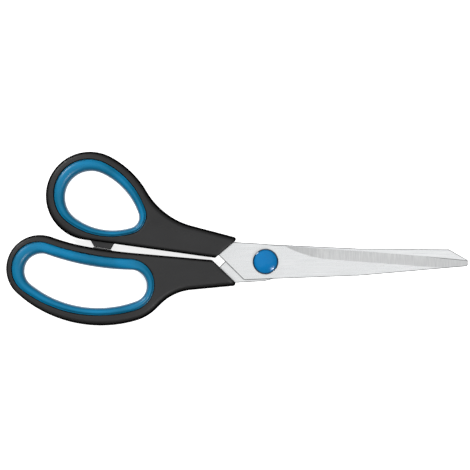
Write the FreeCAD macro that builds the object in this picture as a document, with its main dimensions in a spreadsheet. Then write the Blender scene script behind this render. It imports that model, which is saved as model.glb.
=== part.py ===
"""Office scissors: two stainless blades with moulded handles, soft loop liners and a capped pivot screw.

Row frame, millimetres: the origin is on the pivot axis in the plane that the scissors lie on, +X runs
to the blade tips, +Z is up through the pivot, and the thumb half lies on the +Y side with its blade on top.
"""
import FreeCAD, Part
import math
import os

import Sketcher

UP = FreeCAD.Vector(0, 0, 1)
TOUCH = 1e-4
START, END, CENTRE, ORIGIN = 1, 2, 3, -1

# --------------------------------------------------------------------------- driving dimensions
SIZES = {
    # handles and liners
    "handle_reach": 72.0,
    "handle_thick": 9.0,
    "handle_round": 2.8,
    "grip_round": 2.2,
    "key_thick": 3.0,
    "key_depth": 1.3,
    "nose_past": 20.0,
    "stop_thick": 6.0,
    "stop_root": 4.6,
    "stop_gap": 0.1,
    "nose_round": 0.8,
    # blades
    "blade_reach": 92.3,
    "blade_thick": 1.6,
    "blade_gap": 0.05,
    "edge_bow": 2000.0,
    "edge_land": 0.3,
    "bevel_slope": 17.0,
    "bevel_start": 23.5,
    "bevel_past": 20.0,
    "bevel_across": 50.0,
    "wheel_radius": 165.0,
    "wheel_run": 30.0,
    "shoulder_round": 1.6,
    "tip_round": 0.9,
    "anchor_hole": 1.5,
    "anchor_near": 31.0,
    "anchor_pitch": 11.0,
    # pivot screw, washers, nut and caps
    "shank_radius": 2.5,
    "shank_flats": 1.9,
    "bore_clear": 0.03,
    "head_radius": 4.1,
    "head_thick": 0.8,
    "running_gap": 0.03,
    "washer_clear": 0.08,
    "glide_radius": 3.9,
    "glide_thick": 0.3,
    "spring_radius": 3.8,
    "spring_thick": 0.3,
    "spring_dish": 0.15,
    "thread_radius": 1.5,
    "thread_clear": 0.02,
    "thread_past": 0.1,
    "nut_radius": 4.2,
    "nut_thick": 1.2,
    "cap_radius": 5.85,
    "cap_clear": 0.05,
    "cap_height": 3.1,
    "cap_rim": 2.5,
    "cap_round": 1.1,
    "rear_cap_round": 0.6,
    # slanted front faces of the handles, two points on each
    "thumb_face_top_x": -13.1, "thumb_face_top_y": 10.0,
    "thumb_face_low_x": -22.6, "thumb_face_low_y": 1.9,
    "finger_face_top_x": -23.4, "finger_face_top_y": -0.2,
    "finger_face_low_x": -12.9, "finger_face_low_y": -10.3,
    # the line along which the closed handles meet, with x from the handle's reach
    "stop_left_x": -6.0, "stop_left_y": 6.8,
    "stop_right_x": 1.5, "stop_right_y": 5.5,
    "stop_flare": 2.6,
    "stop_drop": 1.2,
}

# Where the middle of each loop stands: x from the handle's reach behind the pivot axis, y from the axis.
LOOPS = {"thumb": (0.0, 25.0), "finger": (-10.0, -8.0)}

# Circles that shape each outline, counterclockwise: x and y from the middle of the loop, and radius.
# A front circle shapes the end by the pivot, so its x is measured from the pivot axis.
# A positive radius bulges outwards and a negative one hollows inwards.
CIRCLES = {
    "thumb_opening": {"big": (-7.4, 4.3, 11.9), "small": (9.5, -4.8, 4.9)},
    "thumb_seam": {"big": (-8.4, 5.7, 15.9), "small": (9.5, -4.2, 8.2)},
    "thumb_shell": {"front": (-10.0, -20.1, 5.0), "saddle": (46.9, 23.8, -33.6), "rear": (-7.9, 4.9, 20.1)},
    "finger_opening": {"left": (-19.9, 3.7, 7.9), "right": (20.6, -3.1, 7.3)},
    "finger_seam": {"left": (-21.2, 4.8, 12.3), "right": (19.4, -2.6, 12.0)},
    "finger_shell": {
        "front": (-10.0, 2.4, 5.0), "waist": (41.5, 233.7, -222.7), "left": (-20.7, 4.8, 15.3),
        "palm": (16.9, 2.2, 21.9), "saddle": (50.2, -27.4, -22.6),
    },
}
# Radius of the arc that leads from each circle to the next one, or None for a straight line.
BENDS = {
    "thumb_opening": (29.2, 31.2),
    "thumb_seam": (33.2, 36.5),
    "thumb_shell": (None, 41.1, None),
    "finger_opening": (49.6, -120.0),
    "finger_seam": (58.6, -119.0),
    "finger_shell": (None, -100.0, 57.0, None, None),
}

# Corners of the blades in the order of a counterclockwise walk. The cutting edge leads to or from the heel.
# x is measured from the pivot axis, but back from the blade's reach for the corners at the tip.
TIP_CORNERS = ("tip_edge", "tip_back", "clip")
BLADES = {
    "front": {
        "tip_edge": (0.0, 0.5), "heel": (6.0, 7.05), "guard": (-0.5, 8.1), "neck_edge": (-15.0, 8.9),
        "tang_edge": (-48.0, 14.0), "tang_back": (-48.0, 9.0), "neck_back": (-23.2, 4.9),
        "shoulder": (-9.8, -8.35), "spine": (43.0, -6.35), "tip_back": (-0.3, -2.1),
    },
    "rear": {
        "heel": (6.0, -7.2), "tip_edge": (0.0, -0.5), "tip_back": (-0.3, 0.8), "clip": (-8.8, 5.6),
        "spine": (43.0, 5.9), "shoulder": (-9.9, 8.4), "neck_back": (-23.2, -4.8),
        "tang_back": (-48.0, -5.4), "tang_edge": (-48.0, -10.6), "neck_edge": (-15.0, -9.7),
        "guard": (-0.5, -8.9),
    },
}


def all_sizes():
    """Every named size of the model in one table."""
    table = dict(SIZES)
    for side, (x, y) in LOOPS.items():
        table[side + "_loop_x"] = x
        table[side + "_loop_y"] = y
    for outline, circles in CIRCLES.items():
        for circle, (x, y, radius) in circles.items():
            table[outline + "_" + circle + "_x"] = x
            table[outline + "_" + circle + "_y"] = y
            table[outline + "_" + circle + "_radius"] = radius
        for circle, bend in zip(circles, BENDS[outline]):
            if bend is not None:
                table[outline + "_" + circle + "_bend"] = bend
    for blade, corners in BLADES.items():
        for corner, (x, y) in corners.items():
            table[blade + "_" + corner + "_x"] = x
            table[blade + "_" + corner + "_y"] = y
    return table


def fill_sheet(doc):
    """The spreadsheet that drives the model, one named size in each row."""
    sheet = doc.addObject("Spreadsheet::Sheet", "sizes")
    for row, (name, value) in enumerate(all_sizes().items(), start=1):
        sheet.set("A%d" % row, name)
        sheet.set("B%d" % row, str(value))
        sheet.setAlias("B%d" % row, name)
    doc.recompute()
    return sheet


class Size:
    """A length, with its present value and the spreadsheet formula that gives it."""

    def __init__(self, value, formula):
        self.value = value
        self.formula = formula

    def __add__(self, other):
        return joined(self, "+", other, self.value + as_size(other).value)

    def __sub__(self, other):
        return joined(self, "-", other, self.value - as_size(other).value)

    def __mul__(self, other):
        return joined(self, "*", other, self.value * as_size(other).value)

    def __truediv__(self, other):
        return joined(self, "/", other, self.value / as_size(other).value)

    def __neg__(self):
        return self * -1


def as_size(amount):
    """A plain number as a Size, and a Size as it is."""
    if isinstance(amount, Size):
        return amount
    return Size(amount, "(%s)" % amount)


def joined(left, sign, right, value):
    """The Size that two sizes give together."""
    return Size(value, "(%s %s %s)" % (left.formula, sign, as_size(right).formula))


def size(name):
    """The named size from the spreadsheet."""
    return Size(all_sizes()[name], "sizes." + name)


def bind(thing, member, amount):
    """Tie one property of a feature to the spreadsheet."""
    thing.setExpression(member, amount.formula)


# --------------------------------------------------------------------------- sketch helpers
def new_body(doc, label, base_height=None):
    """An empty body whose own XY plane stands at a height above the table."""
    body = doc.addObject("PartDesign::Body", label)
    body.Label = label
    if base_height is not None:
        body.Placement = FreeCAD.Placement(FreeCAD.Vector(0, 0, base_height.value), FreeCAD.Rotation())
        bind(body, ".Placement.Base.z", base_height)
    return body


def new_sketch(body, name, role="XY_Plane", lift=None):
    """A sketch on one of the body's own planes, lifted along the plane's normal."""
    sketch = body.newObject("Sketcher::SketchObject", name)
    plane = next(part for part in body.Origin.OriginFeatures if part.Role == role)
    sketch.AttachmentSupport = [(plane, "")]
    sketch.MapMode = "FlatFace"
    if lift is not None:
        bind(sketch, ".AttachmentOffset.Base.z", lift)
    return sketch


def hold(sketch, kind, *where, amount):
    """One dimension of a sketch, tied to the spreadsheet."""
    number = sketch.addConstraint(Sketcher.Constraint(kind, *where, amount.value))
    sketch.setExpression("Constraints[%d]" % number, amount.formula)


def place_point(sketch, element, point, x, y):
    """Dimension a point of the sketch from the sketch's origin."""
    hold(sketch, "DistanceX", ORIGIN, 1, element, point, amount=x)
    hold(sketch, "DistanceY", ORIGIN, 1, element, point, amount=y)


def add_circle(sketch, radius, x=None, y=None):
    """A circle at the origin, or at x and y where they are given."""
    centre = FreeCAD.Vector(x.value if x else 0, y.value if y else 0, 0)
    circle = sketch.addGeometry(Part.Circle(centre, UP, radius.value), False)
    if x:
        place_point(sketch, circle, CENTRE, x, y)
    else:
        sketch.addConstraint(Sketcher.Constraint("Coincident", circle, CENTRE, ORIGIN, 1))
    hold(sketch, "Radius", circle, amount=radius)


def sketch_line(sketch, start, end):
    """A straight side of a sketch; gives its number."""
    return sketch.addGeometry(Part.LineSegment(start, end), False)


def add_arc(sketch, centre, radius, start, end):
    """An arc from start to end that turns left for a positive radius; gives its number and its ends."""
    first, last = (start, end) if radius > 0 else (end, start)
    angles = [math.atan2(point.y - centre.y, point.x - centre.x) for point in (first, last)]
    if angles[1] < angles[0]:
        angles[1] += 2 * math.pi
    circle = Part.Circle(centre, UP, abs(radius))
    number = sketch.addGeometry(Part.ArcOfCircle(circle, *angles), False)
    return (number, START, END) if radius > 0 else (number, END, START)


def add_polygon(sketch, corners, bow_after=None, bow=None):
    """A closed outline through the corners, with one side bowed outwards where bow is given."""
    points = [FreeCAD.Vector(x.value, y.value, 0) for x, y in corners]
    sides = []
    for index, start in enumerate(points):
        end = points[(index + 1) % len(points)]
        if index == bow_after:
            sides.append(add_arc(sketch, bow_centre(start, end, bow.value), bow.value, start, end))
            hold(sketch, "Radius", sides[-1][0], amount=bow)
        else:
            sides.append((sketch_line(sketch, start, end), START, END))
    for index, (number, first, last) in enumerate(sides):
        following, following_first, _ = sides[(index + 1) % len(sides)]
        sketch.addConstraint(Sketcher.Constraint("Coincident", number, last, following, following_first))
        place_point(sketch, number, first, *corners[index])


def bow_centre(start, end, radius):
    """Centre of the arc of this radius from start to end, which lies on the left of the chord."""
    chord = end - start
    left = FreeCAD.Vector(-chord.y, chord.x, 0).normalize()
    return (start + end) * 0.5 + left * math.sqrt(radius ** 2 - chord.Length ** 2 / 4)


# --------------------------------------------------------------------------- smooth outlines
def straight_normals(one, two):
    """Inward unit normals where the common tangent line leaves circle one and meets circle two."""
    along = two["centre"] - one["centre"]
    length = along.Length
    along = along / length
    left = FreeCAD.Vector(-along.y, along.x, 0)
    share = (two["radius"].value - one["radius"].value) / length
    normal = along * share + left * math.sqrt(1 - share ** 2)
    return normal, normal


def bend_centre(one, two, bend):
    """Centre of the arc of radius bend that touches both circles on the outline's own side."""
    along = two["centre"] - one["centre"]
    length = along.Length
    along = along / length
    left = FreeCAD.Vector(-along.y, along.x, 0)
    first = abs(bend - one["radius"].value)
    second = abs(bend - two["radius"].value)
    ahead = (length ** 2 + first ** 2 - second ** 2) / (2 * length)
    aside = math.sqrt(first ** 2 - ahead ** 2)
    side = 1 if bend > one["radius"].value else -1
    return one["centre"] + along * ahead + left * aside * side


def bend_normals(one, two, bend, centre):
    """Inward unit normals where an arc about centre touches circle one and circle two."""
    return (
        (centre - one["centre"]) / (bend - one["radius"].value),
        (centre - two["centre"]) / (bend - two["radius"].value),
    )


def outline_circles(outline, inset):
    """The outline's circles as sizes, each drawn in by the inset."""
    loop = outline.split("_")[0]
    circles = []
    for name, bend in zip(CIRCLES[outline], BENDS[outline]):
        key = outline + "_" + name
        x = size(key + "_x")
        if name != "front":
            x = size(loop + "_loop_x") - size("handle_reach") + x
        y = size(loop + "_loop_y") + size(key + "_y")
        circles.append({
            "x": x,
            "y": y,
            "centre": FreeCAD.Vector(x.value, y.value, 0),
            "radius": size(key + "_radius") - inset,
            "bend": None if bend is None else size(key + "_bend") - inset,
        })
    return circles


def add_outline(sketch, outline, inset=None):
    """A smooth closed outline of circles joined by tangent arcs and lines, drawn in by the inset."""
    circles = outline_circles(outline, inset or as_size(0))
    joins = []
    for one, two in zip(circles, circles[1:] + circles[:1]):
        if one["bend"] is None:
            leave, meet = straight_normals(one, two)
            centre = None
        else:
            centre = bend_centre(one, two, one["bend"].value)
            leave, meet = bend_normals(one, two, one["bend"].value, centre)
        start = one["centre"] - leave * one["radius"].value
        end = two["centre"] - meet * two["radius"].value
        joins.append((centre, start, end))
    pieces = []
    for index, circle in enumerate(circles):
        centre, start, end = joins[index]
        arrival = joins[index - 1][2]
        arc = add_arc(sketch, circle["centre"], circle["radius"].value, arrival, start)
        place_point(sketch, arc[0], CENTRE, circle["x"], circle["y"])
        hold_radius(sketch, arc[0], circle["radius"])
        pieces.append(arc)
        if centre is None:
            pieces.append((sketch_line(sketch, start, end), START, END))
        else:
            pieces.append(add_arc(sketch, centre, circle["bend"].value, start, end))
            hold_radius(sketch, pieces[-1][0], circle["bend"])
    for (number, _, last), (following, first, _) in zip(pieces, pieces[1:] + pieces[:1]):
        sketch.addConstraint(Sketcher.Constraint("Tangent", number, last, following, first))


def hold_radius(sketch, number, radius):
    """Dimension the radius of an arc, hollow ones included."""
    hold(sketch, "Radius", number, amount=radius if radius.value > 0 else -radius)


# --------------------------------------------------------------------------- feature helpers
def pad(body, sketch, length, midplane=False):
    """Raise a sketch into a solid."""
    feature = body.newObject("PartDesign::Pad", sketch.Name + "_pad")
    feature.Profile = sketch
    feature.Midplane = midplane
    bind(feature, "Length", length)
    return feature


def pocket(body, sketch, depth=None, upwards=False, midplane=False):
    """Cut a sketch out of the body, to a depth or right through."""
    feature = body.newObject("PartDesign::Pocket", sketch.Name + "_pocket")
    feature.Profile = sketch
    feature.Midplane = midplane
    feature.Reversed = upwards
    if depth is None:
        feature.Type = "ThroughAll"
    else:
        bind(feature, "Length", depth)
    return feature


def round_edges(body, name, radius, picked):
    """Fillet the edges that the function picks from the body's last shape."""
    body.Document.recompute()
    base = body.Tip
    edges = picked(base.Shape)
    names = ["Edge%d" % number for number, edge in enumerate(base.Shape.Edges, start=1)
             if any(edge.isSame(other) for other in edges)]
    fillet = body.newObject("PartDesign::Fillet", name)
    fillet.Base = (base, names)
    bind(fillet, "Radius", radius)
    return fillet


def at_height(*heights):
    """Picks the edges that lie flat at one of the heights."""
    def picked(shape):
        boxes = [(edge, edge.BoundBox) for edge in shape.Edges]
        return [edge for edge, box in boxes
                if any(abs(box.ZMin - z) < TOUCH and abs(box.ZMax - z) < TOUCH for z in heights)]
    return picked


def upright_edges(shape):
    """The shape's edges that stand straight up."""
    return [edge for edge in shape.Edges
            if edge.BoundBox.XLength < TOUCH and edge.BoundBox.YLength < TOUCH]


def upright_at(*corners):
    """Picks the upright edges that stand on the corners."""
    def picked(shape):
        return [edge for edge in upright_edges(shape)
                if any(stands_on(edge.Vertexes[0].Point, x.value, y.value) for x, y in corners)]
    return picked


def upright_on(line):
    """Picks the upright edges that stand on the line between two corners."""
    start, end = (FreeCAD.Vector(x.value, y.value, 0) for x, y in line)

    def picked(shape):
        return [edge for edge in upright_edges(shape)
                if abs((edge.Vertexes[0].Point - start).cross(end - start).z) < TOUCH * (end - start).Length]
    return picked


def stands_on(point, x, y):
    """Whether a point lies straight above x and y."""
    return math.hypot(point.x - x, point.y - y) < TOUCH


def hole_rims(shape):
    """Picks the edges round the holes in the level faces."""
    rims = []
    for face in shape.Faces:
        if face.BoundBox.ZLength < TOUCH:
            for wire in face.Wires:
                if not wire.isSame(face.OuterWire):
                    rims.extend(wire.Edges)
    return rims


def cut(doc, label, base, tool):
    """A piece moulded round another one: the base without the tool."""
    piece = doc.addObject("Part::Cut", label)
    piece.Label = label
    piece.Base = base
    piece.Tool = tool
    return piece


# --------------------------------------------------------------------------- heights of the stack
def rear_blade_bottom():
    """Underside of the lower blade, half a gap and one thickness below the middle of the handles."""
    return size("handle_thick") / 2 - size("blade_gap") / 2 - size("blade_thick")


def front_blade_bottom():
    """Underside of the upper blade, half a gap above the middle of the handles."""
    return size("handle_thick") / 2 + size("blade_gap") / 2


def front_blade_top():
    """Upper face of the upper blade."""
    return front_blade_bottom() + size("blade_thick")


def glide_bottom():
    """Underside of the glide washer, a running gap above the upper blade."""
    return front_blade_top() + size("running_gap")


def spring_bottom():
    """Underside of the spring washer, on the glide washer."""
    return glide_bottom() + size("glide_thick")


def nut_bottom():
    """Underside of the nut, on the crown of the dished spring washer."""
    return spring_bottom() + size("spring_thick") + size("spring_dish")


def nut_top():
    """Upper face of the nut."""
    return nut_bottom() + size("nut_thick")


# --------------------------------------------------------------------------- blades
def corner(blade, name):
    """The x and y sizes of one corner of a blade."""
    x = size(blade + "_" + name + "_x")
    if name in TIP_CORNERS:
        x = size("blade_reach") + x
    return x, size(blade + "_" + name + "_y")


def blade_blank(doc, blade, height):
    """A flat blade with its tang, its rounded corners and the two anchor holes for the moulding."""
    body = new_body(doc, blade + "_blade", height)
    outline = new_sketch(body, blade + "_outline")
    names = list(BLADES[blade])
    edge_starts = "tip_edge" if blade == "front" else "heel"
    corners = [corner(blade, name) for name in names]
    add_polygon(outline, corners, names.index(edge_starts), size("edge_bow"))
    pad(body, outline, size("blade_thick"))
    round_edges(body, blade + "_shoulder", size("shoulder_round"),
                upright_at(corner(blade, "shoulder"), corner(blade, "neck_back")))
    round_edges(body, blade + "_tip", size("tip_round"), upright_at(corner(blade, "tip_back")))
    anchors = new_sketch(body, blade + "_anchors")
    for count in range(2):
        x = -(size("anchor_near") + size("anchor_pitch") * count)
        add_circle(anchors, size("anchor_hole"), x, tang_middle(blade, x))
    pocket(body, anchors, upwards=True)
    return body


def tang_middle(blade, x):
    """Height of the tang's middle line at x."""
    heights = []
    for far, near in (("tang_edge", "neck_edge"), ("tang_back", "neck_back")):
        far_x, far_y = corner(blade, far)
        near_x, near_y = corner(blade, near)
        heights.append(far_y + (near_y - far_y) * (x - far_x) / (near_x - far_x))
    return (heights[0] + heights[1]) / 2


def grind_bevel(body, blade):
    """Grind the cutting bevel: a flat that leaves the blade near the heel round the wheel."""
    side = 1 if blade == "front" else -1
    heel_x, heel_y = corner(blade, "heel")
    tip_x, tip_y = corner(blade, "tip_edge")
    lean = "atan((%s) / (%s))" % ((tip_y - heel_y).formula, (tip_x - heel_x).formula)
    land = size("edge_land") if blade == "front" else size("blade_thick") - size("edge_land")
    sketch = new_sketch(body, blade + "_bevel", "XZ_Plane")
    sketch.setExpression(
        "AttachmentOffset",
        "create(<<placement>>; create(<<vector>>; %s; %s; %s); create(<<rotation>>; 0; %s; %s))"
        % (heel_x.formula, land.formula, (-heel_y).formula, lean, (-size("bevel_slope")).formula))
    start, run, radius = size("bevel_start"), size("wheel_run"), size("wheel_radius")
    past = tip_x - heel_x + size("bevel_past")
    rise = radius.value - math.sqrt(radius.value ** 2 - run.value ** 2)
    foot = FreeCAD.Vector(start.value, 0, 0)
    lip = FreeCAD.Vector(start.value - run.value, side * rise, 0)
    far = FreeCAD.Vector(past.value, 0, 0)
    corners = [foot, far, FreeCAD.Vector(far.x, lip.y, 0), lip]
    lines = [sketch_line(sketch, one, two) for one, two in zip(corners, corners[1:])]
    wheel = FreeCAD.Vector(start.value, side * radius.value, 0)
    arc, first, last = add_arc(sketch, wheel, side * radius.value, lip, foot)
    for one, two in zip(lines, lines[1:]):
        sketch.addConstraint(Sketcher.Constraint("Coincident", one, END, two, START))
    sketch.addConstraint(Sketcher.Constraint("Coincident", lines[2], END, arc, first))
    sketch.addConstraint(Sketcher.Constraint("Tangent", arc, last, lines[0], START))
    sketch.addConstraint(Sketcher.Constraint("Horizontal", lines[0]))
    sketch.addConstraint(Sketcher.Constraint("Vertical", lines[1]))
    sketch.addConstraint(Sketcher.Constraint("Horizontal", lines[2]))
    place_point(sketch, lines[0], START, start, as_size(0))
    hold(sketch, "DistanceX", lines[0], START, lines[0], END, amount=past - start)
    hold(sketch, "DistanceX", arc, first, arc, last, amount=run)
    hold(sketch, "Radius", arc, amount=radius)
    pocket(body, sketch, size("bevel_across"), midplane=True)


def front_blade(doc):
    """The upper blade, which turns on the screw's round shank."""
    body = blade_blank(doc, "front", front_blade_bottom())
    bore = new_sketch(body, "front_bore")
    add_circle(bore, size("shank_radius") + size("bore_clear"))
    pocket(body, bore, upwards=True)
    grind_bevel(body, "front")
    return body


def rear_blade(doc):
    """The lower blade, whose hole has two flats that keep the screw from turning."""
    body = blade_blank(doc, "rear", rear_blade_bottom())
    keyhole = new_sketch(body, "rear_keyhole")
    add_flatted_circle(keyhole, size("shank_radius") + size("bore_clear"),
                       size("shank_flats") + size("bore_clear"))
    pocket(body, keyhole, upwards=True)
    grind_bevel(body, "rear")
    return body


def add_flatted_circle(sketch, radius, half_width):
    """A circle about the origin with two flats, half_width away on each side."""
    reach = math.sqrt(radius.value ** 2 - half_width.value ** 2)
    right, left = half_width.value, -half_width.value
    ends = ((right, -reach), (right, reach), (left, reach), (left, -reach))
    corners = [FreeCAD.Vector(x, y, 0) for x, y in ends]
    sides = []
    for index, start in enumerate(corners):
        end = corners[(index + 1) % len(corners)]
        if index % 2 == 0:
            sides.append((sketch_line(sketch, start, end), START, END))
        else:
            sides.append(add_arc(sketch, FreeCAD.Vector(0, 0, 0), radius.value, start, end))
    for (number, _, last), (following, first, _) in zip(sides, sides[1:] + sides[:1]):
        sketch.addConstraint(Sketcher.Constraint("Coincident", number, last, following, first))
    for number, edge in ((sides[0][0], half_width), (sides[2][0], -half_width)):
        sketch.addConstraint(Sketcher.Constraint("Vertical", number))
        hold(sketch, "DistanceX", ORIGIN, 1, number, START, amount=edge)
    for number in (sides[1][0], sides[3][0]):
        sketch.addConstraint(Sketcher.Constraint("Coincident", number, CENTRE, ORIGIN, 1))
        hold(sketch, "Radius", number, amount=radius)


# --------------------------------------------------------------------------- handles and liners
def handle_moulding(doc, side):
    """The hard handle: a rounded plate with a loop hole, a slanted front face and a closing stop."""
    body = new_body(doc, side + "_moulding")
    shell = new_sketch(body, side + "_shell")
    add_outline(shell, side + "_shell")
    pad(body, shell, size("handle_thick"))
    round_edges(body, side + "_rounding", size("handle_round"), at_height(0, size("handle_thick").value))
    cut_nose(body, side)
    cut_loop(body, side)
    add_stop(body, side)
    return body


def cut_nose(body, side):
    """Cut the front end of the handle off along its slanted face."""
    top_x, top_y = size(side + "_face_top_x"), size(side + "_face_top_y")
    low_x, low_y = size(side + "_face_low_x"), size(side + "_face_low_y")
    high = (top_x * 2 - low_x, top_y * 2 - low_y)
    deep = (low_x * 2 - top_x, low_y * 2 - top_y)
    nose = new_sketch(body, side + "_nose")
    past = size("nose_past")
    add_polygon(nose, [high, deep, (past, deep[1]), (past, high[1])])
    pocket(body, nose, upwards=True)
    round_edges(body, side + "_nose_rounding", size("nose_round"), upright_on((high, deep)))


def cut_loop(body, side):
    """Cut the hole for the liner and leave a web in its middle, which the liner grips."""
    web = new_sketch(body, side + "_web")
    add_outline(web, side + "_seam", size("key_depth"))
    pocket(body, web, upwards=True)
    depth = (size("handle_thick") - size("key_thick")) / 2
    lower = new_sketch(body, side + "_lower_seat")
    add_outline(lower, side + "_seam")
    pocket(body, lower, depth, upwards=True)
    upper = new_sketch(body, side + "_upper_seat", lift=size("handle_thick"))
    add_outline(upper, side + "_seam")
    pocket(body, upper, depth)


def add_stop(body, side):
    """The block on each handle that meets the other one when the scissors close."""
    reach = size("handle_reach")
    left_x, left_y = size("stop_left_x") - reach, size("stop_left_y")
    right_x, right_y = size("stop_right_x") - reach, size("stop_right_y")
    stop = new_sketch(body, side + "_stop", lift=size("handle_thick") / 2)
    flare = size("stop_flare")
    if side == "thumb":
        root = size("stop_root")
        corners = [(left_x, left_y), (right_x, right_y), (right_x + flare, right_y + root),
                   (left_x - flare, left_y + root)]
    else:
        root = size("stop_gap") + size("stop_drop")
        gap = size("stop_gap")
        corners = [(left_x - flare, left_y - root), (right_x + flare, right_y - root),
                   (right_x, right_y - gap), (left_x, left_y - gap)]
    add_polygon(stop, corners)
    pad(body, stop, size("stop_thick"), midplane=True)


def grip_blank(doc, side):
    """The soft liner before the handle's web is taken out of it: a ring with rounded inner edges."""
    body = new_body(doc, side + "_liner")
    outer = new_sketch(body, side + "_liner_outline")
    add_outline(outer, side + "_seam")
    pad(body, outer, size("handle_thick"))
    opening = new_sketch(body, side + "_finger_hole")
    add_outline(opening, side + "_opening")
    pocket(body, opening, upwards=True)
    round_edges(body, side + "_liner_rounding", size("grip_round"), hole_rims)
    return body


def thumb_half(doc):
    """Upper blade, with the thumb handle moulded round its tang and the liner round the handle's web."""
    blade = front_blade(doc)
    handle = cut(doc, "thumb_handle", handle_moulding(doc, "thumb"), blade)
    grip = cut(doc, "thumb_grip", grip_blank(doc, "thumb"), handle)
    return [blade, handle, grip]


def finger_half(doc):
    """Lower blade, finger handle and liner, made the same way."""
    blade = rear_blade(doc)
    handle = cut(doc, "finger_handle", handle_moulding(doc, "finger"), blade)
    grip = cut(doc, "finger_grip", grip_blank(doc, "finger"), handle)
    return [blade, handle, grip]


# --------------------------------------------------------------------------- pivot
def disc(body, name, radius, lift, height):
    """A round step of a turned piece."""
    sketch = new_sketch(body, name, lift=lift)
    add_circle(sketch, radius)
    return pad(body, sketch, height)


def pivot_screw(doc):
    """Shouldered screw: flat head, flatted neck in the lower blade, round shank and a threaded end."""
    body = new_body(doc, "pivot_screw")
    neck_bottom = rear_blade_bottom()
    neck_top = neck_bottom + size("blade_thick")
    disc(body, "screw_head", size("head_radius"), neck_bottom - size("head_thick"), size("head_thick"))
    neck = new_sketch(body, "screw_neck", lift=neck_bottom)
    add_flatted_circle(neck, size("shank_radius"), size("shank_flats"))
    pad(body, neck, size("blade_thick"))
    disc(body, "screw_shank", size("shank_radius"), neck_top, nut_bottom() - neck_top)
    disc(body, "screw_thread", size("thread_radius"), nut_bottom(), size("nut_thick") + size("thread_past"))
    return body


def glide_washer(doc):
    """Thin nylon washer that the upper blade turns against."""
    body = new_body(doc, "glide_washer", glide_bottom())
    ring = new_sketch(body, "glide_ring")
    add_circle(ring, size("glide_radius"))
    add_circle(ring, size("shank_radius") + size("washer_clear"))
    pad(body, ring, size("glide_thick"))
    return body


def spring_washer(doc):
    """Dished spring washer that keeps the blades pressed together."""
    body = new_body(doc, "spring_washer", spring_bottom())
    section = new_sketch(body, "spring_section", "XZ_Plane")
    inner = size("shank_radius") + size("washer_clear")
    outer = size("spring_radius")
    thick, dish = size("spring_thick"), size("spring_dish")
    add_polygon(section, [(outer, as_size(0)), (outer, thick), (inner, thick + dish), (inner, dish)])
    ring = body.newObject("PartDesign::Revolution", "spring_ring")
    ring.Profile = section
    ring.ReferenceAxis = (section, ["V_Axis"])
    ring.Angle = 360
    return body


def pivot_nut(doc):
    """Six-sided nut with its tapped hole."""
    block = doc.addObject("Part::Prism", "nut_block")
    block.Polygon = 6
    bind(block, "Circumradius", size("nut_radius"))
    bind(block, "Height", size("nut_thick"))
    bind(block, ".Placement.Base.z", nut_bottom())
    hole = doc.addObject("Part::Cylinder", "nut_hole")
    bind(hole, "Radius", size("thread_radius") + size("thread_clear"))
    bind(hole, "Height", size("nut_thick"))
    bind(hole, ".Placement.Base.z", nut_bottom())
    return cut(doc, "pivot_nut", block, hole)


def front_cap(doc):
    """Domed cap pressed over the nut."""
    body = new_body(doc, "front_cap", glide_bottom())
    section = new_sketch(body, "cap_section", "XZ_Plane")
    radius, rim, height = size("cap_radius"), size("cap_rim"), size("cap_height")
    foot = FreeCAD.Vector(0, 0, 0)
    side = FreeCAD.Vector(radius.value, 0, 0)
    shoulder = FreeCAD.Vector(radius.value, rim.value, 0)
    crown = FreeCAD.Vector(0, height.value, 0)
    rise = height.value - rim.value
    dome = (radius.value ** 2 + rise ** 2) / (2 * rise)
    base = sketch_line(section, foot, side)
    wall = sketch_line(section, side, shoulder)
    arc, first, last = add_arc(section, FreeCAD.Vector(0, height.value - dome, 0), dome, shoulder, crown)
    axis = sketch_line(section, crown, foot)
    meetings = (
        (base, END, wall, START), (wall, END, arc, first), (arc, last, axis, START), (axis, END, base, START),
    )
    for one, one_end, two, two_start in meetings:
        section.addConstraint(Sketcher.Constraint("Coincident", one, one_end, two, two_start))
    section.addConstraint(Sketcher.Constraint("Coincident", base, START, ORIGIN, 1))
    section.addConstraint(Sketcher.Constraint("Horizontal", base))
    section.addConstraint(Sketcher.Constraint("Vertical", wall))
    section.addConstraint(Sketcher.Constraint("Vertical", axis))
    section.addConstraint(Sketcher.Constraint("PointOnObject", arc, CENTRE, axis))
    hold(section, "DistanceX", base, START, base, END, amount=radius)
    hold(section, "DistanceY", wall, START, wall, END, amount=rim)
    hold(section, "DistanceY", axis, END, axis, START, amount=height)
    dome_feature = body.newObject("PartDesign::Revolution", "cap_dome")
    dome_feature.Profile = section
    dome_feature.ReferenceAxis = (section, ["V_Axis"])
    dome_feature.Angle = 360
    round_edges(body, "cap_rounding", size("cap_round"), at_height(rim.value))
    hollow = new_sketch(body, "cap_hollow")
    add_circle(hollow, size("nut_radius") + size("cap_clear"))
    pocket(body, hollow, nut_top() - glide_bottom() + size("thread_past") + size("cap_clear"), upwards=True)
    return body


def rear_cap(doc):
    """Flat cap over the screw's head, level with the backs of the handles."""
    body = new_body(doc, "rear_cap")
    disc(body, "rear_cap_disc", size("cap_radius"), None, rear_blade_bottom())
    round_edges(body, "rear_cap_rounding", size("rear_cap_round"), at_height(0))
    hollow = new_sketch(body, "rear_cap_hollow", lift=rear_blade_bottom())
    add_circle(hollow, size("head_radius") + size("cap_clear"))
    pocket(body, hollow, size("head_thick") + size("cap_clear"))
    return body


# --------------------------------------------------------------------------- document
def check_document(doc):
    """Stop if any feature failed."""
    for thing in doc.Objects:
        if any(word in thing.State for word in ("Invalid", "Error")):
            raise RuntimeError("%s failed: %s" % (thing.Name, thing.State))


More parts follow.
